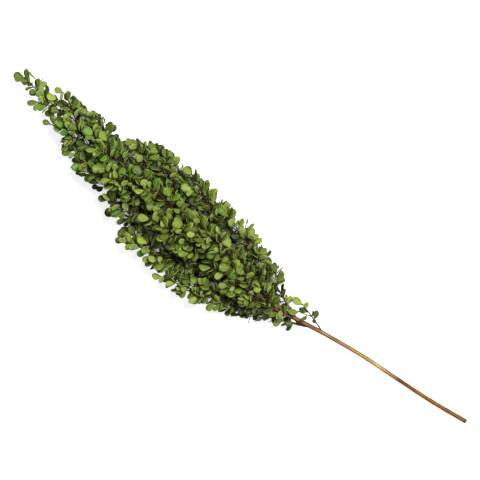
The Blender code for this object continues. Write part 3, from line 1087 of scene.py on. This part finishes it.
# A blade that would leave the solids' box, or sink into the table, is bent back from its foot
def bendBack(corners, foot, length):
    shares = [min((corner.co - foot).length / length, 1) for corner in corners]
    for axis in range(3):
        for limit, inward in ((cadBox[0][axis], 1), (cadBox[1][axis], -1)):
            limit += inward * boxMargin
            lack = [(limit - corner.co[axis]) * inward for corner in corners]
            worst = max(need / share for need, share in zip(lack, shares) if share > footShare)
            if worst > 0:
                for corner, share in zip(corners, shares):
                    corner.co[axis] += inward * worst * share
    for corner in corners:
        corner.co.z = max(corner.co.z, cadBox[0][2])


def makeLeaves(node):
    gathered = bmesh.new()
    for leaf in grown["order"]:
        if leaf["node"] != node:
            continue
        rule = random.Random(f"{seed} look {leaf['axis']} {leaf['slot']}")
        flat = leaf["pose"].translation.z < low
        before = len(gathered.verts)
        gathered.from_mesh(blades[bladePlan["flatShape"] if flat else rule.randrange(len(blades))])
        gathered.verts.ensure_lookup_table()
        corners = gathered.verts[before:]
        size = Matrix.Diagonal((leaf["length"], leaf["width"], leaf["length"], 1))
        bmesh.ops.transform(gathered, matrix=toOrigin @ leaf["pose"] @ size, verts=corners)
        bendBack(corners, leaf["pose"].translation - branchMiddle, leaf["length"])
        tint = gathered.verts.layers.float_color["leafColour"]
        colour = leafTint(rule, leaf)
        for corner in corners:
            corner[tint] = colour
    newPiece(f"{node}_leaves", gathered, [leafUpper, leafUnder], node)


def newWood():
    wood = bmesh.new()
    wood.verts.layers.float_vector.new("grain")
    return wood


def ringEdges(ring):
    touching = dict.fromkeys(edge for corner in ring for edge in corner.link_edges)
    return [edge for edge in touching if all(corner in ring for corner in edge.verts)]


# A tube: one ring drawn out along the points, with the bark's place kept on each corner
def addTube(wood, points, radii, sides, start=0.0):
    grain = wood.verts.layers.float_vector["grain"]
    turn = up.rotation_difference((points[1] - points[0]).normalized()).to_matrix().to_4x4()
    made = bmesh.ops.create_circle(wood, cap_ends=False, segments=sides, radius=1)["verts"]
    ring, reach = made, start
    for corner in ring:
        corner[grain] = (*corner.co.xy, start)
    place = Matrix.Identity(4)
    for i, (point, radius) in enumerate(zip(points, radii)):
        if i:
            drawn = bmesh.ops.extrude_edge_only(wood, edges=ringEdges(ring))["geom"]
            ring = [item for item in drawn if isinstance(item, bmesh.types.BMVert)]
            reach += (point - points[i - 1]).length
            way = (points[min(i + 1, len(points) - 1)] - points[i - 1]).normalized()
            turn = (turn @ up).rotation_difference(way).to_matrix().to_4x4() @ turn
        size = Matrix.Diagonal((radius, radius, 1, 1))
        here = Matrix.Translation(point - branchMiddle) @ turn @ size
        bmesh.ops.transform(wood, matrix=here @ place.inverted(), verts=ring)
        place = here
        for corner in ring:
            around = Vector(corner[grain]).xy.normalized() * radius
            corner[grain] = (*around, reach)
    return made, ring


def closeRing(wood, ring):
    return bmesh.ops.contextual_create(wood, geom=ringEdges(ring))["faces"][0]


def smoothWood(wood):
    bmesh.ops.recalc_face_normals(wood, faces=wood.faces[:])
    for face in wood.faces:
        face.smooth = True


twigPlan = {
    "sides": 7,
    "fineStep": 0.004,
    "fewestSteps": 4,
    "smoothings": 2,
    "sink": 0.0045,
    "collar": 1.35,
    "shootGirth": 0.78,
    "young": 0.045,  # how far along the bark's colours a shoot, or a spray near the tip, starts
    "youngFeet": (0.20, 0.36),
    "bud": [(0.7, 0.85), (1.4, 1.25), (2.4, 1.0), (3.4, 0.35)],  # way past the tip, and girth
}


# An axis as a smooth line of points, which a bud ends
def smoothLine(axis, girth):
    points = axis["points"]
    steps = max(twigPlan["fewestSteps"], round(axis["length"] / twigPlan["fineStep"]))
    if "handles" in axis:
        fine = interpolate_bezier(*axis["handles"], steps + 1)
    else:
        fine = [axisAt(axis, axis["length"] * i / steps)[0] for i in range(steps + 1)]
        for _ in range(twigPlan["smoothings"]):
            fine[1:-1] = [(a + 2 * b + c) / 4 for a, b, c in zip(fine, fine[1:], fine[2:])]
    ends = [radius * girth for radius in (axis["radii"][0], axis["radii"][-1])]
    radii = [between(ends, i / steps) for i in range(steps + 1)]
    tip, way, last = fine[-1], (fine[-1] - fine[-2]).normalized(), radii[-1]
    for past, share in twigPlan["bud"]:
        fine.append(tip + way * last * past)
        radii.append(last * share)
    for point, radius in zip(fine, radii):
        point.z = max(point.z, radius)
    return fine, radii


# A twig is sunk at its foot into the stem, with a collar there
def addTwig(wood, axis, sunk, girth, start):
    fine, radii = smoothLine(axis, girth)
    if sunk is not None:
        fine.insert(0, sunk)
        radii.insert(0, radii[0] * twigPlan["collar"])
        radii[1] *= (1 + twigPlan["collar"]) / 2
    for ring in addTube(wood, fine, radii, twigPlan["sides"], start):
        closeRing(wood, ring)


def makeTwigs(axis):
    wood = newWood()
    sunk, start = None, twigPlan["young"]
    if "foot" in axis:
        sunk = stemAt(axis["foot"] - twigPlan["sink"])[0]
        start *= shareOf(axis["foot"], twigPlan["youngFeet"])
    addTwig(wood, axis, sunk, 1, start)
    for shoot in shoots[axis["name"]]:
        addTwig(wood, shoot, None, twigPlan["shootGirth"], twigPlan["young"])
    smoothWood(wood)
    newPiece(f"{axis['node']}_twig", wood, [twigBark], axis["node"])


stemLook = {
    "sides": 18,
    "fineStep": 0.003,
    "nodes": 8,  # on the bare stretch
    "nodeEvery": 0.021,
    "nodeShift": 0.004,
    "nodeWidth": 0.0035,
    "swell": 0.06,
    "mostSwell": 1.3,
    "noise": 0.015,
    "cutRim": 0.00025,
}


def makeStem():
    wood = newWood()
    steps = round(stem["length"] / stemLook["fineStep"])
    rule = random.Random(f"{seed} bark")
    feet = [axis["foot"] for axis in sprays]
    shift = stemLook["nodeShift"]
    for i in range(stemLook["nodes"]):
        feet.append((i + 1) * stemLook["nodeEvery"] + rule.uniform(-shift, shift))
    points, radii = [], []
    for i in range(steps + 1):
        forward = stemPlan["leaderFoot"] * i / steps
        point, radius = stemAt(forward)
        swell = sum(math.exp(-(((forward - foot) / stemLook["nodeWidth"]) ** 2)) for foot in feet)
        grow = stemLook["swell"] * min(swell, stemLook["mostSwell"])
        grow += rule.uniform(-1, 0) * stemLook["noise"]
        points.append(point)
        radii.append(min(radius * (1 + grow), point.z))
    first, last = addTube(wood, points, radii, stemLook["sides"])
    cut = closeRing(wood, first)
    closeRing(wood, last)
    smoothWood(wood)
    bmesh.ops.inset_region(wood, faces=[cut], thickness=stemLook["cutRim"], depth=0)
    cut.material_index = 1
    newPiece("main_stem_bark", wood, [stemBark, cutWood], "main_stem")


makeStem()
measureDepths()
for axis in twigs:
    makeTwigs(axis)
    makeLeaves(axis["node"])
print("stem, twigs and leaves made")

# A white table with a painted glow that fades to painted shade under the foliage, a soft key light
# from the upper right of the picture and a pale sky
stagePlan = {
    "tableSize": 6.0,
    "tableDrop": Vector((0, 0, -0.0002)),
    "tableColour": (0.35, 0.353, 0.357),
    "tableRoughness": 0.9,
    "tablePaintedGlow": 0.76,  # painted light: a glow for the camera only, strongest in the open so that shadows there stay faint, fading to painted shade where the foliage closes over the table
    "openFrom": (0.05, 0.40),
    "openReach": 0.05,
    "skyColour": (0.97, 0.98, 1.0),
    "skyStrength": 0.42,
    "keyPower": 76,
    "keySize": 0.8,
    "keyPlace": (-0.15, -0.75, 1.8),
}


def makeStage():
    table = bmesh.new()
    bmesh.ops.create_grid(table, x_segments=1, y_segments=1, size=stagePlan["tableSize"] / 2)
    bmesh.ops.translate(table, verts=table.verts[:], vec=stagePlan["tableDrop"])
    mesh = meshFrom(table, "table")
    surface, tree, shader = newMaterial("tableTop")
    # Painted light and shade: the table glows for the camera, less where nearby foliage occludes
    # it
    seen = addNode(tree, "ShaderNodeLightPath").outputs["Is Camera Ray"]
    reach = {"Distance": stagePlan["openReach"]}
    sight = addNode(tree, "ShaderNodeAmbientOcclusion", reach).outputs["AO"]
    paintedGlow = rangeNode(tree, sight, *stagePlan["openFrom"], 0, stagePlan["tablePaintedGlow"])
    finish = {
        "Base Color": (*stagePlan["tableColour"], 1),
        "Roughness": stagePlan["tableRoughness"],
        "Emission Color": (1, 1, 1, 1),
        "Emission Strength": mathNode(tree, "MULTIPLY", seen, paintedGlow),
    }
    feed(tree, shader, finish)
    mesh.materials.append(surface)
    addObject("table", mesh)

    sky = bpy.data.worlds.new("sky")
    sky.use_nodes = True
    glow = {"Color": (*stagePlan["skyColour"], 1), "Strength": stagePlan["skyStrength"]}
    feed(sky.node_tree, sky.node_tree.nodes["Background"], glow)
    bpy.context.scene.world = sky

    key = bpy.data.lights.new("key", "AREA")
    key.shape = "DISK"
    key.size = stagePlan["keySize"]
    key.energy = stagePlan["keyPower"]
    lamp = addObject("key", key)
    lamp.location = stagePlan["keyPlace"]
    lamp.rotation_euler = Vector(stagePlan["keyPlace"]).to_track_quat("Z", "Y").to_euler()
    bpy.context.scene.view_settings.view_transform = "Standard"


# The camera looks straight down, turned as in the photograph
cameraPlan = {
    "middle": Vector((0.0064, -0.0298, 0.012)),
    "width": 0.5245,
    "distance": 3.0,
    "right": Vector((-0.7910, -0.6118, 0)),
    "sensor": 36,
    "farthest": 50,
}


def makeCamera():
    view = bpy.data.cameras.new("view")
    view.sensor_width = cameraPlan["sensor"]
    view.lens = view.sensor_width * cameraPlan["distance"] / cameraPlan["width"]
    view.clip_end = cameraPlan["farthest"]
    camera = addObject("view", view)
    right = cameraPlan["right"].normalized()
    turn = Matrix((right, up.cross(right), up)).transposed().to_4x4()
    place = cameraPlan["middle"] + up * cameraPlan["distance"]
    camera.matrix_world = Matrix.Translation(place) @ turn
    bpy.context.scene.camera = camera


makeStage()
makeCamera()
print("stage and camera made")
